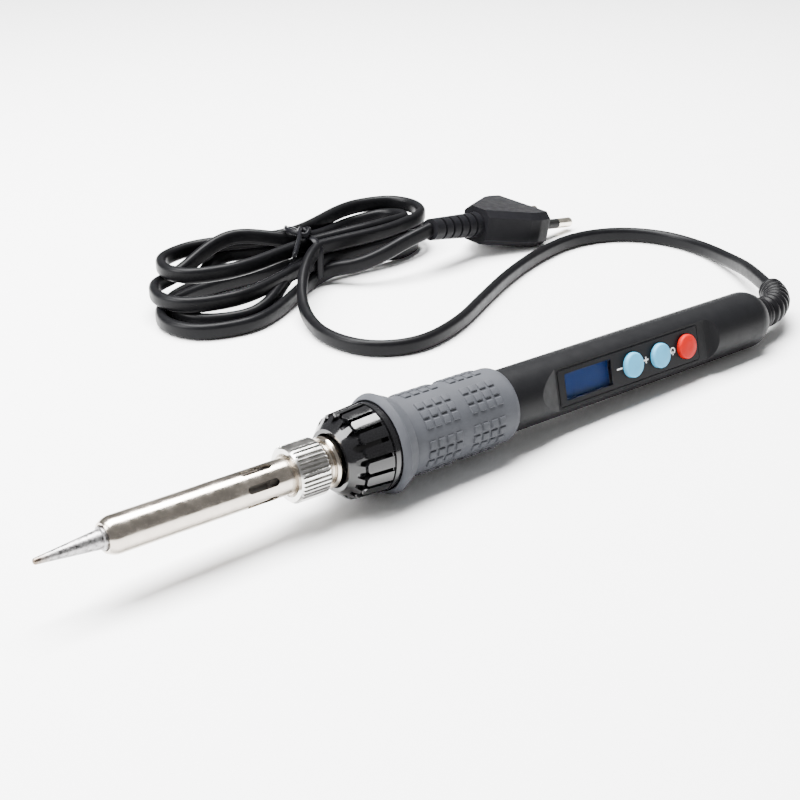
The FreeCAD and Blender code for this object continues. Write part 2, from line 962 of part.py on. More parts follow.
def make_back_shell():
    s = sheet
    body = new_body()
    shell = revolve(
        body,
        [
            (s.handle_start, s.handle_bore_radius),
            (s.handle_start, s.handle_radius),
            (s.handle_round_start, s.handle_radius),
            (s.handle_end, s.handle_end_radius, s.handle_round_radius, "out"),
            (s.handle_end, s.tail_hole_radius),
            (s.tail_wall_start, s.tail_hole_radius),
            (s.tail_wall_start, s.handle_bore_radius),
        ],
        angle=180,
    )
    shell.Reversed = True
    add_bosses(body, s.screw_seat, -1)
    for x, y in screw_places():
        sketch = new_sketch(body, height=-s.screw_seat)
        draw_circle(sketch, x, y, s.screw_head_radius + 0.1)
        pocket(body, sketch)
    keep(body, "handle_back_shell", resting)


def make_shell_screws():
    s = sheet
    seat = -s.screw_seat
    screws = []
    for x, y in screw_places():
        head = new_cylinder(
            s.screw_head_radius, s.screw_head_height, x, y, seat - s.screw_head_height, along="z"
        )
        length = s.screw_top + s.screw_seat - 0.3
        shank = new_cylinder(s.screw_radius, length, x, y, seat, along="z")
        screws.append(joined(head, shank))
    keep(grouped(*screws), "shell_screws", resting)


def make_overlay():
    """The thin printed panel, let into the flat, with its window and button holes."""
    s = sheet
    body = new_body()
    sketch = new_sketch(body, height=s.panel_height - s.overlay_sink)
    half = s.overlay_half_width
    draw_rounded_box(sketch, s.overlay_start, s.overlay_end, -half, half, s.overlay_corner)
    pad(body, sketch, s.overlay_thickness)
    top = plain(s.panel_height - s.overlay_sink + s.overlay_thickness)
    bevel(body, s.overlay_bevel, lambda edge: all(abs(v.Z - top) < 1e-6 for v in edge.Vertexes))
    sketch = new_sketch(body)
    draw_window(sketch, s.window_gap)
    pocket(body, sketch, forward=True)
    for _, place in button_places():
        sketch = new_sketch(body)
        draw_circle(sketch, place, 0, s.button_hole_radius)
        pocket(body, sketch, forward=True)
    keep(body, "panel_overlay", resting)


def make_display():
    s = sheet
    body = new_body()
    sketch = new_sketch(body, height=s.lcd_height + 0.05)
    draw_window(sketch, 0)
    pad(body, sketch, s.panel_height - s.overlay_sink + s.overlay_thickness - s.lcd_height)
    keep(body, "display_lens", resting)
    half = s.lcd_half_width
    lcd = new_box(s.lcd_start, s.lcd_end, -half, half, 0, s.lcd_height)
    keep(grouped(lcd), "lcd_module", resting)


# ---------------------------------------------------------------- buttons and board


def make_buttons():
    """Each button is a domed cap over the plunger of a switch on the board."""
    s = sheet
    shoulder = s.button_foot + s.button_flange_height
    side_top = s.button_top - s.button_crown - s.button_edge
    for name, place in button_places():
        here = resting * Placement(Vector(plain(place), 0, 0), Rotation())
        cap = new_body()
        revolve(
            cap,
            [
                (0, s.button_foot),
                (0, s.button_top),
                (s.button_radius / 3, s.button_top),
                (s.button_radius - s.button_edge, s.button_top - s.button_crown, 8, "out"),
                (s.button_radius, side_top, s.button_edge, "out"),
                (s.button_radius, shoulder),
                (s.button_flange_radius, shoulder),
                (s.button_flange_radius, s.button_foot),
            ],
            plane="XZ_Plane",
            axis="V_Axis",
        )
        keep(cap, f"{name}_button", here)
        plunger = new_cylinder(
            s.plunger_radius, s.button_foot - s.plunger_foot, z=s.plunger_foot, along="z"
        )
        keep(grouped(plunger), f"{name}_plunger", here)
        half = s.switch_side / 2
        housing = new_box(-half, half, -half, half, 0, s.switch_height)
        hole = new_cylinder(
            s.switch_hole_radius, s.switch_height, z=s.switch_hole_foot, along="z"
        )
        keep(cut(housing, hole), f"{name}_switch", here)


def make_board():
    """The circuit board and the parts soldered under it."""
    s = sheet
    half = s.board_half_width
    foot = -s.board_thickness
    board = new_box(s.board_start, s.board_end, -half, half, foot, 0)
    keep(grouped(board), "circuit_board", resting)
    under_board = {
        "control_chip": (168, 178, -3, 3, 1.6),
        "film_capacitor": (182, 195, -4, 4, 5),
        "triac": (199, 208, -4.5, 4.5, 4.4),
        "cord_terminal": (229, 238, -4.2, 4.2, 4.8),
    }
    for name, (x0, x1, y0, y1, drop) in under_board.items():
        block = new_box(x0, x1, y0, y1, foot - drop, foot)
        keep(grouped(block), name, resting)
    fuse_radius = 2.2
    fuse = new_cylinder(fuse_radius, 12, 212, 0, foot - fuse_radius)
    keep(grouped(fuse), "fuse", resting)


# ---------------------------------------------------------------- strain relief and cord


def make_strain_relief():
    """A bent rubber boot with a neck and a lock ring inside the tail wall."""
    s = sheet
    tail = s.handle_end
    outside = tail + s.relief_flange_length
    body = new_body()
    revolve(
        body,
        [
            (s.relief_lock_start, 0),
            (s.relief_lock_start, s.relief_lock_radius),
            (s.tail_wall_start - 0.1, s.relief_lock_radius),
            (s.tail_wall_start - 0.1, s.relief_neck_radius),
            (tail + 0.1, s.relief_neck_radius),
            (tail + 0.1, s.relief_flange_radius - 0.7),
            (tail + 0.7, s.relief_flange_radius),
            (outside, s.relief_flange_radius - 0.2),
            (outside, 0),
        ],
    )
    bend = s.relief_bend_radius
    angle = math.radians(plain(s.relief_bend_angle))
    start = s.handle_end + s.relief_straight
    path = new_sketch(body)
    path_start = Vector(plain(tail + 1), 0, 0)
    bend_start = Vector(plain(start), 0, 0)
    line = path.addGeometry(Part.LineSegment(path_start, bend_start))
    centre = bend_start + Vector(0, plain(bend), 0)
    circle = Part.Circle(centre, Vector(0, 0, 1), plain(bend))
    arc = path.addGeometry(Part.ArcOfCircle(circle, -math.pi / 2, angle - math.pi / 2))
    hold(path, "DistanceX", line, 1, tail + 1)
    hold(path, "DistanceY", line, 1, 0)
    hold(path, "DistanceX", line, 2, start)
    hold(path, "DistanceY", line, 2, 0)
    path.addConstraint(Sketcher.Constraint("Coincident", line, 2, arc, 1))
    hold(path, "DistanceX", arc, 3, start)
    hold_radius(path, arc, bend)
    hold(path, "DistanceX", arc, 2, start + bend * math.sin(angle))
    section = new_sketch(body, "YZ_Plane", tail + 1)
    draw_circle(section, 0, 0, s.relief_radius)
    pipe = body.newObject("PartDesign::AdditivePipe", "AdditivePipe")
    pipe.Profile = section
    pipe.Spine = (path, [])
    keep(body, "strain_relief", upright)


def relief_end():
    """Where the cord leaves the strain relief, and the direction that it leaves in."""
    s = sheet
    bend = plain(s.relief_bend_radius)
    angle = math.radians(plain(s.relief_bend_angle))
    x = plain(s.handle_end + s.relief_straight) + bend * math.sin(angle)
    end = upright.multVec(Vector(x, bend * (1 - math.cos(angle)), 0))
    heading = upright.Rotation.multVec(Vector(math.cos(angle), math.sin(angle), 0))
    return end, heading


def plug_boot_end():
    length = plain(sheet.plug_length + sheet.plug_boot_length)
    return at_plug.multVec(Vector(-length, 0, 0))


def cord_tube(name, route):
    """A tube of straight runs and tangent arcs, each arc as large as its two runs allow."""
    radius = plain(sheet.cord_width) / 2
    edges = []
    radii = []
    last = route[0]
    for before, corner, after in zip(route, route[1:], route[2:]):
        inward = (before - corner).normalize()
        outward = (after - corner).normalize()
        half_turn = (math.pi - inward.getAngle(outward)) / 2
        shorter = min(before.distanceToPoint(corner), corner.distanceToPoint(after))
        reach = 0.45 * shorter
        bend = reach / math.tan(half_turn)
        radii.append(round(bend, 1))
        arc_start = corner + inward * reach
        arc_end = corner + outward * reach
        bisector = (inward + outward).normalize()
        to_middle = bend / math.cos(half_turn) - bend
        edges.append(Part.LineSegment(last, arc_start).toShape())
        edges.append(Part.Arc(arc_start, corner + bisector * to_middle, arc_end).toShape())
        last = arc_end
    edges.append(Part.LineSegment(last, route[-1]).toShape())
    path = Part.Wire(edges)
    section = Part.Wire(Part.Circle(route[0], route[1] - route[0], radius).toShape())
    shape = path.makePipeShell([section], True, True)
    expected = math.pi * radius**2 * path.Length
    print(f"{name}: {path.Length:.0f} mm long, bend radii {radii}")
    if abs(shape.Volume / expected - 1) > 0.01:
        raise RuntimeError(f"{name} holds {shape.Volume:.0f} mm3, not {expected:.0f}")
    tube = document.addObject("Part::Feature", "Tube")
    tube.Shape = shape
    keep(tube, name, Placement())


# The cord's middle line on the table, a list chosen by hand. It leaves the strain relief, swings
# behind the handle and runs back along it to the hank.
FLOOR = 2.95
CORD_ROUTE = [
    (175.0, 45.5, 4.7),
    (181.0, 63.5, FLOOR),
    (179.0, 82.0, FLOOR),
    (167.5, 97.0, FLOOR),
    (148.5, 103.5, FLOOR),
    (126.5, 99.5, FLOOR),
    (103.0, 91.0, FLOOR),
    (80.0, 79.5, FLOOR),
    (57.5, 67.5, FLOOR),
    (36.0, 62.5, FLOOR),
    (20.5, 70.5, FLOOR),
    (15.5, 87.0, FLOOR),
    (18.0, 101.0, 4.2),
    (23.5, 112.8, 7.0),
]

PLUG_CORD_ROUTE = [
    (76.0, 118.1, 15.0),
    (65.0, 120.2, 10.6),
    (56.5, 124.5, 7.4),
    (50.8, 131.2, 5.8),
]


def make_cords():
    start, heading = relief_end()
    route = [start, start + heading * 18] + [Vector(*point) for point in CORD_ROUTE]
    cord_tube("cord_to_hank", route)
    cord_tube("cord_to_plug", [plug_boot_end()] + [Vector(*point) for point in PLUG_CORD_ROUTE])


def make_hank():
    """The outer shape of the hank: two fanned lobes and the waist that the tie holds."""
    s = sheet
    body = new_body()
    lobes = (
        (s.hank_left_start, s.hank_left_end, s.hank_left_centre, s.hank_left_half_width),
        (s.hank_right_start, s.hank_right_end, s.hank_right_centre, s.hank_right_half_width),
    )
    waist = new_sketch(body, height=s.waist_foot)
    draw_outline(
        waist,
        [
            (s.waist_start, s.waist_near),
            (s.waist_end, s.waist_near),
            (s.waist_end, s.waist_far),
            (s.waist_start, s.waist_far),
        ],
    )
    pad(body, waist, s.waist_top - s.waist_foot)
    for x0, x1, centre, half_width in lobes:
        lobe = new_sketch(body)
        draw_slot(lobe, x0, x1, centre, half_width)
        pad(body, lobe, s.hank_height)
    keep(body, "cord_hank", Placement())


def make_twist_tie():
    """A band round the waist of the hank, with two twisted ends."""
    s = sheet
    gap, wall = s.tie_gap, s.tie_thickness
    end = s.tie_start + s.tie_length
    inner = new_box(
        s.tie_start - 1,
        end + 1,
        s.waist_near - gap,
        s.waist_far + gap,
        s.waist_foot - gap,
        s.waist_top + gap,
    )
    outer = new_box(
        s.tie_start,
        end,
        s.waist_near - gap - wall,
        s.waist_far + gap + wall,
        s.waist_foot - gap - wall,
        s.waist_top + gap + wall,
    )
    middle = s.tie_start + s.tie_length / 2
    y = s.waist_near + 8
    z = s.hank_height + 1.2
    ends = [new_cylinder(1.1, 12, middle, y, z), new_cylinder(1.1, 12, middle - 12, y, z)]
    keep(joined(cut(outer, inner), *ends), "twist_tie", Placement())


# ---------------------------------------------------------------- plug


def make_plug_body():
    s = sheet
    face, wide, neck = s.plug_face_half_width, s.plug_half_width, s.plug_neck_half_width
    body = new_body()
    sketch = new_sketch(body)
    draw_outline(
        sketch,
        [
            (0, -face),
            (0, face),
            (-s.plug_shoulder, wide),
            (-s.plug_waist, wide),
            (-s.plug_length, neck),
            (-s.plug_length, -neck),
            (-s.plug_waist, -wide),
            (-s.plug_shoulder, -wide),
        ],
    )
    pad(body, sketch, s.plug_thickness, symmetric=True)
    half = plain(s.plug_thickness) / 2
    length = plain(s.plug_length)

    def long_edge(edge):
        flat = all(abs(abs(v.Z) - half) < 1e-6 for v in edge.Vertexes)
        at_neck = all(abs(v.X + length) < 1e-6 for v in edge.Vertexes)
        return flat and not at_neck

    bevel(body, s.plug_bevel, long_edge)
    sketch = new_sketch(body, "YZ_Plane", s.plug_bevel)
    for side in (-1, 1):
        draw_circle(sketch, s.pin_spacing / 2 * side, 0, s.pin_core_radius)
    pocket(body, sketch, s.pin_root_depth + s.plug_bevel)
    keep(body, "plug_body", at_plug)


def make_plug_boot():
    """The plug's tapered cord relief, ringed so that it bends."""
    s = sheet
    rings = int(plain(s.plug_boot_rings))
    pitch = s.plug_boot_length / (rings + 1)
    taper = (s.plug_boot_radius - s.plug_boot_end_radius) / (rings + 1)
    start = -s.plug_length
    corners = [(start, 0), (start, s.plug_boot_radius)]
    for ring in range(1, rings + 1):
        x = start - pitch * ring
        outer = s.plug_boot_radius - taper * ring
        corners += [
            (x + 1.1, outer),
            (x + 1.1, outer - 0.9),
            (x, outer - 0.9),
            (x, outer),
        ]
    end = start - s.plug_boot_length
    corners += [(end, s.plug_boot_end_radius), (end, 0)]
    body = new_body()
    revolve(body, corners)
    keep(body, "plug_boot", at_plug)


def make_pins():
    s = sheet
    metal = s.pin_length - s.pin_metal_length
    for name, side in (("near", -1), ("far", 1)):
        y = plain(s.pin_spacing) / 2 * side
        here = at_plug * Placement(Vector(0, y, 0), Rotation())
        pin = new_body()
        revolve(
            pin,
            [
                (-s.pin_root_depth, 0),
                (-s.pin_root_depth, s.pin_core_radius),
                (metal, s.pin_core_radius),
                (metal, s.pin_radius),
                (s.pin_length - s.pin_round, s.pin_radius),
                (s.pin_length, s.pin_radius - s.pin_round, s.pin_round, "out"),
                (s.pin_length, 0),
            ],
        )
        keep(pin, f"plug_pin_{name}", here)
        sleeve = new_body()
        revolve(
            sleeve,
            [
                (0, s.pin_core_radius),
                (0, s.sleeve_radius),
                (metal, s.sleeve_radius),
                (metal, s.pin_core_radius),
            ],
        )
        keep(sleeve, f"pin_sleeve_{name}", here)


# ---------------------------------------------------------------- build, check, write


def check_document():
    document.recompute()
    for thing in document.Objects:
        if {"Invalid", "Error"} & set(thing.State):
            raise RuntimeError(f"{thing.Label} ({thing.Name}) failed: {thing.State}")
    for part in parts:
        if part.Shape.isNull() or not part.Shape.isValid() or not part.Shape.Solids:
            raise RuntimeError(f"{part.Label} has no valid shape")


def write_parts():
    os.makedirs("parts", exist_ok=True)
    for part in parts:
        part.Shape.exportStep(f"parts/{part.Label}.step")
    print(f"{len(parts)} parts written")


def main():
    make_tip()
    make_barrel()
    make_nut()
    make_ferrule()
    make_heater()
    make_collar()
    make_collar_screws()
    make_grip()
    make_front_shell()
    make_back_shell()
    make_shell_screws()
    make_overlay()
    make_display()
    make_buttons()
    make_board()
    make_strain_relief()
    make_cords()
    make_hank()
    make_twist_tie()
    make_plug_body()
    make_plug_boot()
    make_pins()
    check_document()
    write_parts()


main()
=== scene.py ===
"""Looks for a soldering iron: its cord and hank, soft mouldings, printed panel and materials.

Lengths are in metres in the row frame. The iron's own frame has x from the tip's point to the
tail, z out of the display panel and y across it; RESTING lays it on the table.
"""

import json
import math

import bmesh
import bpy
from mathutils import Matrix, Vector


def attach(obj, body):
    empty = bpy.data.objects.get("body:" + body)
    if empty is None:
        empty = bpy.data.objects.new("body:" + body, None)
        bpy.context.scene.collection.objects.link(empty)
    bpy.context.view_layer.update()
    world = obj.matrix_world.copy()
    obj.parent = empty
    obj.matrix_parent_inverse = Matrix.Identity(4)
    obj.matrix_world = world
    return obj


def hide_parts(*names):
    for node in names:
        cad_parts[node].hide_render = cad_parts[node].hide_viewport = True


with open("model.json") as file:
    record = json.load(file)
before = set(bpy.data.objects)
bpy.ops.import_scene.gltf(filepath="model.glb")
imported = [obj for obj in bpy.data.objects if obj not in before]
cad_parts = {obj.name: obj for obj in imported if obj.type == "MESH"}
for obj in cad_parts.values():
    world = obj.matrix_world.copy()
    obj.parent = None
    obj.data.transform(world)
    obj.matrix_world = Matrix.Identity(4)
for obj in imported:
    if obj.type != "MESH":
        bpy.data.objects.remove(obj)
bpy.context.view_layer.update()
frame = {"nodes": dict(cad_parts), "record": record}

MM = 0.001
UP = Vector((0, 0, 1))
TILT = math.radians(1.7971)
PANEL_TURN = math.radians(74)
TIP_POINT = Vector((-0.130936, 0, 0.017492))
LEANING = Matrix.Translation(TIP_POINT) @ Matrix.Rotation(TILT, 4, "Y")
RESTING = LEANING @ Matrix.Rotation(PANEL_TURN, 4, "X")


def iron_point(s, radius, angle):
    """A point of the iron: s along it, and an angle in degrees from the panel, all sizes in mm."""
    turn = math.radians(angle)
    return RESTING @ (Vector((s, -radius * math.sin(turn), radius * math.cos(turn))) * MM)


# ---------------------------------------------------------------- camera, light and floor

LIGHT_TARGET = (0, 0.05, 0)
AMBIENT = 0.35
FLOOR_HALF = 6

# Each softbox: name, place, size and power.
SOFTBOXES = [
    ("softbox_top", (0.0, 0.25, 0.8), (0.9, 0.5), 62),
    ("softbox_left", (-0.75, 0.25, 0.5), (0.4, 0.6), 20),
]


def make_camera():
    camera = bpy.data.objects.new("camera", bpy.data.cameras.new("camera"))
    bpy.context.scene.collection.objects.link(camera)
    camera.location = (-0.23642, -0.26821, 0.19769)
    camera.rotation_euler = (math.radians(63.35), 0, math.radians(-38.63))
    camera.data.lens = 63.55
    camera.data.sensor_width = 36
    camera.data.clip_start = 0.01
    bpy.context.scene.camera = camera


def make_area_light(name, place, size, power):
    data = bpy.data.lights.new(name, "AREA")
    data.shape = "RECTANGLE"
    data.size, data.size_y = size
    data.energy = power
    light = bpy.data.objects.new(name, data)
    bpy.context.scene.collection.objects.link(light)
    light.location = place
    light.rotation_euler = (Vector(LIGHT_TARGET) - Vector(place)).to_track_quat("-Z", "Y").to_euler()


def make_studio():
    world = bpy.data.worlds.new("studio")
    world.use_nodes = True
    background = world.node_tree.nodes["Background"]
    background.inputs["Color"].default_value = (1, 1, 1, 1)
    background.inputs["Strength"].default_value = AMBIENT
    bpy.context.scene.world = world
    for softbox in SOFTBOXES:
        make_area_light(*softbox)
    mesh = bpy.data.meshes.new("floor")
    floor = bpy.data.objects.new("floor", mesh)
    half = FLOOR_HALF
    corners = [(-half, -half, 0), (half, -half, 0), (half, half, 0), (-half, half, 0)]
    mesh.from_pydata(corners, [], [(0, 1, 2, 3)])
    bpy.context.scene.collection.objects.link(floor)
    floor.data.materials.append(plain_floor())


def plain_floor():
    material = bpy.data.materials.new("floor")
    material.use_nodes = True
    shader = material.node_tree.nodes["Principled BSDF"]
    shader.inputs["Base Color"].default_value = (0.93, 0.93, 0.93, 1)
    shader.inputs["Roughness"].default_value = 0.7
    shader.inputs["Specular IOR Level"].default_value = 0.2
    return material


# ---------------------------------------------------------------- materials


class Surface:
    """A principled material with procedural variation, in the iron's own coordinates."""

    def __init__(self, name, colour, roughness, metallic=0.0, **sockets):
        self.material = bpy.data.materials.new(name)
        self.material.use_nodes = True
        self.tree = self.material.node_tree
        self.shader = self.tree.nodes["Principled BSDF"]
        self.set("Base Color", (*colour, 1))
        self.set("Roughness", roughness)
        self.set("Metallic", metallic)
        for socket, value in sockets.items():
            self.set(socket.replace("_", " "), value)
        self.colour = colour
        self.normal = None

    def set(self, socket, value):
        self.shader.inputs[socket].default_value = value

    def node(self, kind, **inputs):
        made = self.tree.nodes.new(kind)
        for socket, value in inputs.items():
            target = made.inputs[socket.replace("_", " ")]
            if isinstance(value, bpy.types.NodeSocket):
                self.tree.links.new(value, target)
            else:
                target.default_value = value
        return made

    def place(self, stretch=(1, 1, 1)):
        """Coordinates in millimetres along the iron, stretched by a factor on each axis."""
        world = self.node("ShaderNodeTexCoord").outputs["Object"]
        back = RESTING.inverted()
        turned = self.node(
            "ShaderNodeMapping",
            Vector=world,
            Location=back.to_translation(),
            Rotation=back.to_euler(),
        )
        scale = tuple(factor / MM for factor in stretch)
        return self.node("ShaderNodeMapping", Vector=turned.outputs[0], Scale=scale).outputs[0]

    def noise(self, size, detail=3.0, stretch=(1, 1, 1), roughness=0.55):
        """Noise whose features are about size millimetres across."""
        made = self.node(
            "ShaderNodeTexNoise",
            Vector=self.place(stretch),
            Scale=1 / size,
            Detail=detail,
            Roughness=roughness,
        )
        return made.outputs["Fac"]

    def ramp(self, factor, stops):
        """A colour ramp with (position, grey or colour) stops."""
        made = self.node("ShaderNodeValToRGB", Fac=factor)
        ramp = made.color_ramp
        while len(ramp.elements) < len(stops):
            ramp.elements.new(0.5)
        for element, (position, value) in zip(ramp.elements, stops):
            element.position = position
            element.color = (*value, 1) if isinstance(value, tuple) else (value,) * 3 + (1,)
        return made.outputs["Color"]

    def mix(self, factor, first, second):
        made = self.tree.nodes.new("ShaderNodeMix")
        made.data_type = "RGBA"
        for socket, value in zip((made.inputs[0], made.inputs[6], made.inputs[7]),
                                 (factor, first, second)):
            if isinstance(value, bpy.types.NodeSocket):
                self.tree.links.new(value, socket)
            elif isinstance(value, tuple):
                socket.default_value = (*value, 1)
            else:
                socket.default_value = value
        return made.outputs[2]

    def tint(self, factor, spread):
        """Vary the base colour lighter and darker by a share of itself."""
        darker = tuple(c * (1 - spread) for c in self.colour)
        lighter = tuple(min(c * (1 + spread), 1) for c in self.colour)
        self.link(self.ramp(factor, [(0.3, darker), (0.7, lighter)]), "Base Color")

    def link(self, value, socket):
        self.tree.links.new(value, self.shader.inputs[socket])

    def rough(self, factor, low, high):
        self.link(self.ramp(factor, [(0.3, low), (0.7, high)]), "Roughness")

    def bump(self, height, depth, strength=1.0):
        """Relief of about depth millimetres. Calls stack up."""
        made = self.node("ShaderNodeBump", Height=height, Distance=depth * MM, Strength=strength)
        if self.normal is not None:
            self.tree.links.new(self.normal, made.inputs["Normal"])
        self.normal = made.outputs[0]
        self.link(self.normal, "Normal")


def moulded(name, colour, roughness, grain=0.35, depth=0.02, spread=0.08, shine=0.07, **sockets):
    """Moulded plastic or rubber with a fine texture and slightly uneven gloss."""
    surface = Surface(name, colour, roughness, **sockets)
    surface.set("Specular IOR Level", shine)
    patches = surface.noise(6, detail=2)
    surface.tint(patches, spread)
    surface.rough(surface.noise(2.5, detail=4), roughness - 0.05, roughness + 0.07)
    surface.bump(surface.noise(grain, detail=2), depth)
    return surface


def turned_metal(name, colour, roughness, line=0.12, depth=0.004, spread=0.1, **sockets):
    """Lathe-turned metal: fine rings round the axis, and faint smears along it."""
    surface = Surface(name, colour, roughness, metallic=1.0, **sockets)
    rings = surface.noise(line, detail=3, stretch=(1, 0.01, 0.01))
    smears = surface.noise(3, detail=4)
    surface.tint(smears, spread)
    surface.rough(smears, roughness - 0.05, roughness + 0.09)
    surface.bump(rings, depth)
    return surface


def tip_metal():
    """Plated tip: tinned and mottled, browned by heat at its point."""
    surface = Surface("tip_metal", (0.36, 0.35, 0.34), 0.34, metallic=1.0)
    along = surface.node("ShaderNodeSeparateXYZ", Vector=surface.place()).outputs["X"]
    mottle = surface.noise(1.1, detail=5, roughness=0.7)
    near_point = surface.node("ShaderNodeMapRange", Value=along).outputs[0]
    near_point.node.inputs["From Max"].default_value = 4.5
    plate = surface.ramp(mottle, [(0.35, (0.13, 0.125, 0.125)), (0.62, (0.42, 0.41, 0.41))])
    heat = surface.ramp(mottle, [(0.4, (0.07, 0.045, 0.03)), (0.7, (0.3, 0.24, 0.18))])
    surface.link(surface.mix(near_point, heat, plate), "Base Color")
    surface.rough(mottle, 0.26, 0.48)
    surface.bump(mottle, 0.05)
    return surface


def barrel_metal():
    """Satin sleeve, straw-coloured by heat towards its front."""
    surface = Surface("barrel_metal", (0.66, 0.64, 0.61), 0.3, metallic=1.0)
    along = surface.node("ShaderNodeSeparateXYZ", Vector=surface.place()).outputs["X"]
    front = surface.node("ShaderNodeMapRange", Value=along).outputs[0]
    front.node.inputs["From Min"].default_value = 18
    front.node.inputs["From Max"].default_value = 40
    smears = surface.noise(3.5, detail=4, stretch=(0.4, 1, 1))
    steel = surface.ramp(smears, [(0.3, (0.4, 0.385, 0.36)), (0.7, (0.52, 0.5, 0.47))])
    warm = surface.ramp(smears, [(0.3, (0.32, 0.28, 0.23)), (0.7, (0.45, 0.4, 0.34))])
    surface.link(surface.mix(front, warm, steel), "Base Color")
    surface.rough(smears, 0.24, 0.36)
    surface.bump(surface.noise(0.12, detail=3, stretch=(1, 0.01, 0.01)), 0.003)
    return surface


def lcd_film():
    """Plain blue film, very slightly uneven."""
    surface = Surface("lcd_film", (0.005, 0.018, 0.07), 0.4, Specular_IOR_Level=0.05)
    surface.tint(surface.noise(9, detail=1), 0.06)
    return surface


def make_materials():
    """Each record slot's material."""
    steel = (0.66, 0.64, 0.61)
    return {
        "tip_plating": tip_metal(),
        "bright_steel": turned_metal("ferrule_metal", (0.5, 0.45, 0.39), 0.16),
        "nickel": turned_metal("nut_metal", (0.55, 0.54, 0.52), 0.14, line=0.3),
        "ceramic": moulded("ceramic", (0.04, 0.036, 0.032), 0.6),
        "copper_wire": turned_metal("copper_wire", (0.72, 0.38, 0.22), 0.3),
        "black_gloss": moulded(
            "collar_moulding", (0.004, 0.004, 0.0045), 0.14, grain=1.2, depth=0.01,
            shine=0.3, Coat_Weight=0.35, Coat_Roughness=0.06,
        ),
        "screw_steel": turned_metal("screw_metal", steel, 0.3),
        "grip_rubber": moulded("grip_rubber", (0.045, 0.047, 0.053), 0.55, grain=0.3, depth=0.03),
        "handle_plastic": moulded("handle_moulding", (0.0055, 0.0056, 0.0062), 0.42, grain=0.25),
        "overlay_film": moulded("overlay_film", (0.005, 0.005, 0.0058), 0.34, grain=0.2, depth=0.005),
        "lcd_window": Surface(
            "lcd_window", (0.8, 0.87, 0.97), 0.08, Transmission_Weight=1.0, IOR=1.08,
        ),
        "lcd_film": lcd_film(),
        "button_blue": moulded("button_blue", (0.07, 0.3, 0.47), 0.38, grain=0.5, depth=0.01),
        "button_red": moulded("button_red", (0.36, 0.006, 0.004), 0.38, grain=0.5, depth=0.01),
        "switch_black": moulded("switch_moulding", (0.02, 0.02, 0.02), 0.4),
        "board_green": moulded("solder_mask", (0.01, 0.12, 0.04), 0.35),
        "component_black": moulded("package_moulding", (0.015, 0.015, 0.015), 0.5),
        "capacitor_yellow": moulded("capacitor_moulding", (0.7, 0.42, 0.03), 0.35),
        "fuse_glass": Surface("fuse_glass", (0.9, 0.95, 0.95), 0.05, Transmission_Weight=1.0),
        "terminal_green": moulded("terminal_moulding", (0.02, 0.25, 0.08), 0.4),
        "relief_rubber": moulded("relief_rubber", (0.004, 0.004, 0.0045), 0.36),
        "cord_pvc": moulded("cord_sheath", (0.0035, 0.0035, 0.004), 0.34, grain=0.5, depth=0.015),
        "tie_plastic": moulded("tie_sheath", (0.004, 0.004, 0.005), 0.3, grain=0.6),
        "plug_plastic": moulded("plug_moulding", (0.005, 0.005, 0.006), 0.42, grain=0.25),
        "pin_nickel": turned_metal("pin_metal", (0.8, 0.74, 0.63), 0.2),
        "sleeve_black": moulded("pin_sleeve", (0.01, 0.01, 0.01), 0.35),
        "print_white": moulded("panel_print", (0.7, 0.7, 0.7), 0.5),
    }


MATERIALS = make_materials()


def paint_frame():
    """Give each CAD node its slot's material."""
    slots = {part["node"]: part["material_slot"] for part in frame["record"]["subparts"]}
    for name, node in frame["nodes"].items():
        for slot in node.material_slots:
            slot.material = MATERIALS[slots[name]].material


# ---------------------------------------------------------------- mesh helpers


def new_piece(name, mesh, slot, body="handle", paint=None):
    """A finished piece: linked, painted, and riding on a body."""
    piece = bpy.data.objects.new(name, mesh)
    bpy.context.scene.collection.objects.link(piece)
    mesh.materials.append(MATERIALS[paint or slot].material)
    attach(piece, body)
    return piece


def mesh_of(name, build, smooth=True):
    """A mesh made by build(bm)."""
    mesh = bpy.data.meshes.new(name)
    bm = bmesh.new()
    build(bm)
    bmesh.ops.recalc_face_normals(bm, faces=bm.faces)
    bm.to_mesh(mesh)
    bm.free()
    for polygon in mesh.polygons:
        polygon.use_smooth = smooth
    return mesh


def bevelled(piece, width, segments, angle=35):
    modifier = piece.modifiers.new("bevel", "BEVEL")
    modifier.width = width * MM
    modifier.segments = segments
    modifier.limit_method = "ANGLE"
    modifier.angle_limit = math.radians(angle)
    modifier.harden_normals = False


def frames_along(points):
    """The direction, side and normal at each point of a line, kept as upright as they can be."""
    result = []
    for index, point in enumerate(points):
        before = points[max(index - 1, 0)]
        after = points[min(index + 1, len(points) - 1)]
        ahead = (after - before).normalized()
        side = UP.cross(ahead)
        side = side.normalized() if side.length > 1e-6 else Vector((0, 1, 0))
        result.append((point, side, ahead.cross(side)))
    return result


def skin(bm, rings, closed=False):
    """Faces between rings of vertices that have the same count."""
    pairs = list(zip(rings, rings[1:]))
    if closed:
        pairs.append((rings[-1], rings[0]))
    for first, second in pairs:
        count = len(first)
        for n in range(count):
            m = (n + 1) % count
            bm.faces.new((first[n], first[m], second[m], second[n]))
    if not closed:
        bm.faces.new(rings[0])
        bm.faces.new(rings[-1])


def tube_rings(bm, points, radii, sides=24, flat=1.0):
    """A ring of vertices at each point; flat squeezes the rings sideways."""
    rings = []
    for (point, side, normal), radius in zip(frames_along(points), radii):
        ring = []
        for n in range(sides):
            turn = 2 * math.pi * n / sides
            offset = side * math.cos(turn) * flat + normal * math.sin(turn)
            ring.append(bm.verts.new(point + offset * radius))
        rings.append(ring)
    return rings


# ---------------------------------------------------------------- the cord

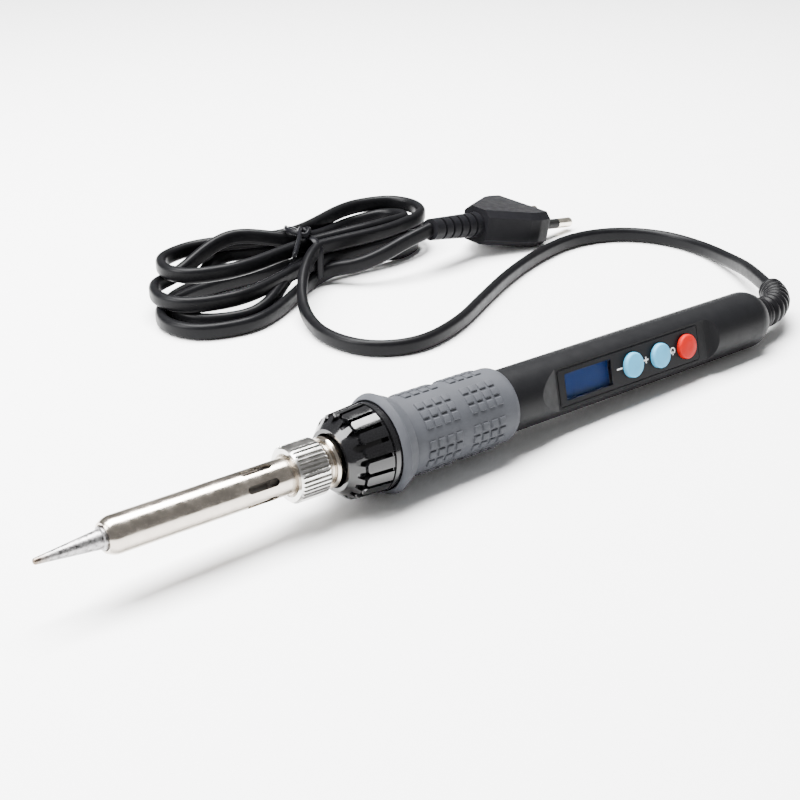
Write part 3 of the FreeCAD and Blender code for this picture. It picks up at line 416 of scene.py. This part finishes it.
CORD_WIDTH = 5.8
CORD_THICKNESS = 3.6
FLOOR = 2.95
RELIEF_BEND = 25
RELIEF_ANGLE = math.radians(60)
RELIEF_START = 262
RELIEF_STRAIGHT = 3
CORD_LEAD_OUT = 18
PLUG_FACE = Vector((141.85, 125.2, 6.8))
PLUG_TURN = math.radians(7)
PLUG_DIP = math.radians(10)
PLUG_ROLL = math.radians(2)
PLUG_BOOT_END = -56

# The cord's middle line in millimetres, from the strain relief to the hank.
LEAD_ROUTE = [
    (175.0, 45.5, 4.7),
    (181.0, 63.5, FLOOR),
    (179.0, 82.0, FLOOR),
    (167.5, 97.0, FLOOR),
    (148.5, 103.5, FLOOR),
    (126.5, 99.5, FLOOR),
    (103.0, 91.0, FLOOR),
    (80.0, 79.5, FLOOR),
    (57.5, 67.5, FLOOR),
    (36.0, 62.5, FLOOR),
    (20.5, 70.5, FLOOR),
    (15.5, 87.0, FLOOR),
    (18.0, 101.0, 4.2),
    (23.5, 112.8, 7.0),
    (33.0, 124.5, 11.5),
]

# The cord's middle line from the hank to the plug's boot.
PLUG_ROUTE = [
    (50.8, 131.2, 5.8),
    (56.5, 124.5, 7.4),
    (65.0, 120.2, 10.6),
    (76.0, 118.1, 15.0),
]

# Where the cord passes the tie, as y and height, and the bights of the hank between those
# places. A bight has its reach in x, then y and height of the side it leaves on and of the
# side it comes back on, and places it passes on its way out.
WAIST_X = 44.8
WAIST = [
    (133.5, 14.5),
    (151.5, 14.5),
    (138.5, 14.5),
    (146.5, 14.0),
    (133.5, 8.7),
    (151.0, 8.7),
    (138.5, 8.7),
    (149.0, FLOOR),
    (133.5, FLOOR),
]
BIGHTS = [
    (103, (134.0, 14.5), (161.5, 14.5), []),
    (-10, (161.5, 14.5), (135.0, 14.5), []),
    (97, (137.7, 14.5), (160.5, 8.8), []),
    (-18, (155.0, 8.7), (124.0, 8.7), [(22, 156, 17.5)]),
    (105, (133.0, 8.7), (161.0, FLOOR), []),
    (-14, (153.0, FLOOR), (119.0, FLOOR), [(18, 160, 8.7)]),
    (100, (136.0, FLOOR), (156.5, FLOOR), []),
    (-21, (147.5, FLOOR), (113.0, FLOOR), []),
]


def bight_keys(reach, leaving, returning, passing):
    """Places round one bight, whose end is a half circle."""
    radius = abs(leaving[0] - returning[0]) / 2
    middle = (leaving[0] + returning[0]) / 2
    outward = 1 if reach > WAIST_X else -1
    keys = [Vector(place) for place in passing]
    for step in range(5):
        turn = math.pi * step / 4
        share = step / 4
        x = reach - outward * radius * (1 - math.sin(turn))
        y = middle + (leaving[0] - middle) * math.cos(turn)
        z = leaving[1] + (returning[1] - leaving[1]) * share
        keys.append(Vector((x, y, z)))
    return keys


def smooth_line(keys, spacing):
    """Points about every spacing along a smooth line through the keys."""
    gaps = [(after - before).length for before, after in zip(keys, keys[1:])]
    slopes = [(after - before) / gap for before, after, gap in zip(keys, keys[1:], gaps)]
    tangents = [slopes[0]]
    for n in range(1, len(gaps)):
        total = gaps[n - 1] + gaps[n]
        tangents.append((slopes[n] * gaps[n - 1] + slopes[n - 1] * gaps[n]) / total)
    tangents.append(slopes[-1])
    points = []
    for n, gap in enumerate(gaps):
        steps = max(round(gap / spacing), 1)
        for step in range(steps):
            t = step / steps
            back = t * t * (3 - 2 * t)
            place = keys[n] * (1 - back) + keys[n + 1] * back
            place += tangents[n] * gap * t * (1 - t) ** 2
            place -= tangents[n + 1] * gap * (1 - t) * t * t
            points.append(place)
    return points + [keys[-1]]


HANK_SPACING = 6


def hank_points():
    """The cord's middle line round the hank, from the tie back to the tie."""
    keys = []
    for waist, bight in zip(WAIST, BIGHTS):
        keys.append(Vector((WAIST_X, *waist)))
        keys += bight_keys(*bight)
    keys.append(Vector((WAIST_X, *WAIST[-1])))
    line = smooth_line(keys, HANK_SPACING)
    return [(x, y, max(z, FLOOR)) for x, y, z in line]


def relief_line(count=40):
    """The middle line of the strain relief, from the tail round its bend."""
    points = []
    arc = RELIEF_BEND * RELIEF_ANGLE
    total = RELIEF_STRAIGHT + arc
    for n in range(count + 1):
        along = total * n / count
        turn = max(along - RELIEF_STRAIGHT, 0) / RELIEF_BEND
        x = RELIEF_START + min(along, RELIEF_STRAIGHT) + RELIEF_BEND * math.sin(turn)
        y = RELIEF_BEND * (1 - math.cos(turn))
        points.append(LEANING @ (Vector((x, y, 0)) * MM))
    return points


def plug_matrix():
    """The plug's place: its face, turned, dipped towards the pins and rolled."""
    face = Matrix.Translation(PLUG_FACE * MM)
    turn = Matrix.Rotation(PLUG_TURN, 4, "Z")
    dip = Matrix.Rotation(PLUG_DIP, 4, "Y")
    roll = Matrix.Rotation(PLUG_ROLL, 4, "X")
    return face @ turn @ dip @ roll


def make_cord():
    """One spline from the strain relief, round the hank and into the plug's boot."""
    exit_line = relief_line()
    start = exit_line[-1]
    heading = (exit_line[-1] - exit_line[-2]).normalized()
    end = plug_matrix() @ (Vector((PLUG_BOOT_END, 0, 0)) * MM)
    route = [start, start + heading * CORD_LEAD_OUT * MM]
    route += [Vector(p) * MM for p in LEAD_ROUTE + hank_points() + PLUG_ROUTE]
    route.append(end)
    curve = bpy.data.curves.new("cord", "CURVE")
    curve.dimensions = "3D"
    curve.twist_mode = "Z_UP"
    curve.extrude = (CORD_WIDTH - CORD_THICKNESS) / 2 * MM
    curve.bevel_depth = CORD_THICKNESS / 2 * MM
    curve.bevel_resolution = 6
    curve.use_fill_caps = True
    spline = curve.splines.new("NURBS")
    spline.points.add(len(route) - 1)
    for point, place in zip(spline.points, route):
        point.co = (*place, 1)
    spline.order_u = 3
    spline.use_endpoint_u = True
    spline.resolution_u = 8
    spline.use_smooth = True
    cord = bpy.data.objects.new("cord", curve)
    bpy.context.scene.collection.objects.link(cord)
    curve.materials.append(MATERIALS["cord_pvc"].material)
    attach(cord, "handle")
    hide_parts("cord_to_hank", "cord_to_plug", "cord_hank")


# ---------------------------------------------------------------- strain relief and tie


RELIEF_FLANGE_LENGTH = 1.8
RELIEF_FLANGE_RADIUS = 6.1
RELIEF_ROOT_RADIUS = 5.5
RELIEF_TAPER = 0.95
RELIEF_RING_PITCH = 3.1
RELIEF_RING_DEPTH = 0.75


def make_strain_relief():
    """A flange at the tail, then a tapering boot of rings round the bend."""
    line = relief_line(120)
    count = len(line) - 1
    total = RELIEF_STRAIGHT + RELIEF_BEND * RELIEF_ANGLE
    radii = []
    for n in range(len(line)):
        along = total * n / count
        if along < RELIEF_FLANGE_LENGTH:
            radii.append(RELIEF_FLANGE_RADIUS)
            continue
        past = along - RELIEF_FLANGE_LENGTH
        taper = RELIEF_ROOT_RADIUS - RELIEF_TAPER * past / (total - RELIEF_FLANGE_LENGTH)
        ring = 0.5 - 0.5 * math.cos(2 * math.pi * past / RELIEF_RING_PITCH)
        radii.append(taper - RELIEF_RING_DEPTH * (1 - ring) ** 2)
    mesh = mesh_of(
        "strain_relief_boot",
        lambda bm: skin(bm, tube_rings(bm, line, [r * MM for r in radii], 40)),
    )
    piece = new_piece("strain_relief_boot", mesh, "relief_rubber")
    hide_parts("strain_relief")
    return piece


TIE_NEAR = 130.6
TIE_FAR = 154.6
TIE_FOOT = 0.6
TIE_TOP = 17.9
TIE_CORNER = 5
TIE_HALF_WIDTH = 1.5
TIE_HALF_THICKNESS = 0.5
TIE_WIRE_RADIUS = 1.15

# The two free ends of the tie, from the twist on top of the waist.
TIE_ENDS = [
    [(45.5, 137.5, 18.6), (43.5, 140.5, 20.1), (41.0, 138.0, 20.4), (38.0, 133.8, 19.9),
     (33.5, 129.0, 18.8), (29.5, 125.0, 17.6)],
    [(44.0, 141.5, 18.6), (45.5, 138.5, 20.3), (42.5, 136.4, 19.2), (40.0, 139.5, 20.0),
     (39.5, 144.0, 19.8), (41.5, 147.5, 19.2)],
]


def make_tie():
    """A plastic-covered wire round the waist of the hank, with its ends twisted together."""
    loop = []
    for cy, cz, first in (
        (TIE_FAR - TIE_CORNER, TIE_TOP - TIE_CORNER, 0),
        (TIE_NEAR + TIE_CORNER, TIE_TOP - TIE_CORNER, 90),
        (TIE_NEAR + TIE_CORNER, TIE_FOOT + TIE_CORNER, 180),
        (TIE_FAR - TIE_CORNER, TIE_FOOT + TIE_CORNER, 270),
    ):
        for step in range(7):
            turn = math.radians(first + 15 * step)
            y = cy + TIE_CORNER * math.cos(turn)
            z = cz + TIE_CORNER * math.sin(turn)
            loop.append(Vector((WAIST_X, y, z)) * MM)

    def band(bm):
        rings = []
        middle = Vector((WAIST_X, (TIE_NEAR + TIE_FAR) / 2, (TIE_FOOT + TIE_TOP) / 2)) * MM
        for point in loop:
            outward = (point - middle).normalized()
            ring = []
            for n in range(12):
                turn = 2 * math.pi * n / 12
                across = Vector((1, 0, 0)) * math.cos(turn) * TIE_HALF_WIDTH * MM
                raised = outward * math.sin(turn) * TIE_HALF_THICKNESS * MM
                ring.append(bm.verts.new(point + across + raised))
            rings.append(ring)
        skin(bm, rings, closed=True)
        for end in TIE_ENDS:
            line = [p * MM for p in smooth_line([Vector(key) for key in end], 0.8)]
            skin(bm, tube_rings(bm, line, [TIE_WIRE_RADIUS * MM] * len(line), 12, flat=0.75))

    piece = new_piece("tie_band", mesh_of("tie_band", band), "tie_plastic")
    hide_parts("twist_tie")
    return piece


# ---------------------------------------------------------------- grip and panel


GRIP_GROUPS = 6
GRIP_FIRST_ANGLE = -35.5
GRIP_ROW_PITCH = 15.3
GRIP_RADIUS = 11.2
PAD_HALF_WIDTH = 1.12
PAD_SUNK = 0.1
PAD_HEIGHT = 0.5
PAD_FOOT_SHARE = 1.12
PAD_TOP_SHARE = 0.9
PAD_EDGE = 0.22
PAD_PLACES = [111.5, 114.6, 117.8, 121.0, 127.6, 130.7, 133.9, 137.0]


def make_grip_pads():
    """Small raised squares in six groups of rows round the grip."""
    half = PAD_HALF_WIDTH
    foot = (GRIP_RADIUS - PAD_SUNK, PAD_FOOT_SHARE)
    top = (GRIP_RADIUS + PAD_HEIGHT, PAD_TOP_SHARE)
    half_angle = math.degrees(half / GRIP_RADIUS)

    def pads(bm):
        for group in range(GRIP_GROUPS):
            for row in (-1, 0, 1):
                angle = GRIP_FIRST_ANGLE + 360 / GRIP_GROUPS * group + GRIP_ROW_PITCH * row
                for s in PAD_PLACES:
                    rings = []
                    for radius, share in (foot, top):
                        rings.append([
                            bm.verts.new(iron_point(
                                s + half * share * a, radius, angle + half_angle * share * b
                            ))
                            for a, b in ((-1, -1), (1, -1), (1, 1), (-1, 1))
                        ])
                    skin(bm, rings)

    piece = new_piece("grip_pads", mesh_of("grip_pads", pads), "grip_rubber")
    bevelled(piece, PAD_EDGE, 3)
    return piece


PANEL_TOP = 7.15
PRINT_FOOT = -0.02
PRINT_TOP = 0.03
PRINT_HALF_LINE = 0.22
MINUS_SIGN = (187.7, 190.1)
PLUS_SIGN = (199.6, 201.6)
PLUS_MIDDLE = 200.6
PLUS_REACH = 1.0
POWER_SIGN = 212.9
POWER_RING = (0.75, 1.1)
POWER_ARC = (-60, 240)
POWER_BAR_HALF_LINE = 0.15
POWER_BAR = (-1.4, -0.3)


def panel_point(s, y, lift):
    return RESTING @ (Vector((s, y, PANEL_TOP + lift)) * MM)


def panel_strip(bm, s0, s1, y0, y1):
    """A thin printed rectangle on the panel."""
    rings = [
        [bm.verts.new(panel_point(s, y, lift)) for s, y in ((s0, y0), (s1, y0), (s1, y1), (s0, y1))]
        for lift in (PRINT_FOOT, PRINT_TOP)
    ]
    skin(bm, rings)


def panel_ring(bm, s, y, inner, outer, start, end, steps=32):
    """A printed arc between two angles in degrees."""
    rings = []
    for n in range(steps + 1):
        turn = math.radians(start + (end - start) * n / steps)
        ring = []
        for radius, lift in (
            (inner, PRINT_FOOT),
            (outer, PRINT_FOOT),
            (outer, PRINT_TOP),
            (inner, PRINT_TOP),
        ):
            place = panel_point(s + radius * math.cos(turn), y + radius * math.sin(turn), lift)
            ring.append(bm.verts.new(place))
        rings.append(ring)
    skin(bm, rings)


def make_panel_print():
    """A minus, a plus and a power sign beside the buttons."""
    thin = PRINT_HALF_LINE
    bar = POWER_BAR_HALF_LINE

    def signs(bm):
        panel_strip(bm, *MINUS_SIGN, -thin, thin)
        panel_strip(bm, *PLUS_SIGN, -thin, thin)
        panel_strip(bm, PLUS_MIDDLE - thin, PLUS_MIDDLE + thin, -PLUS_REACH, PLUS_REACH)
        panel_ring(bm, POWER_SIGN, 0, *POWER_RING, *POWER_ARC)
        panel_strip(bm, POWER_SIGN - bar, POWER_SIGN + bar, *POWER_BAR)

    return new_piece("panel_print", mesh_of("panel_print", signs, False), "overlay_film",
                     paint="print_white")


# ---------------------------------------------------------------- put together

make_camera()
relief = make_strain_relief()
tie = make_tie()
make_cord()
make_studio()
paint_frame()
make_grip_pads()
make_panel_print()
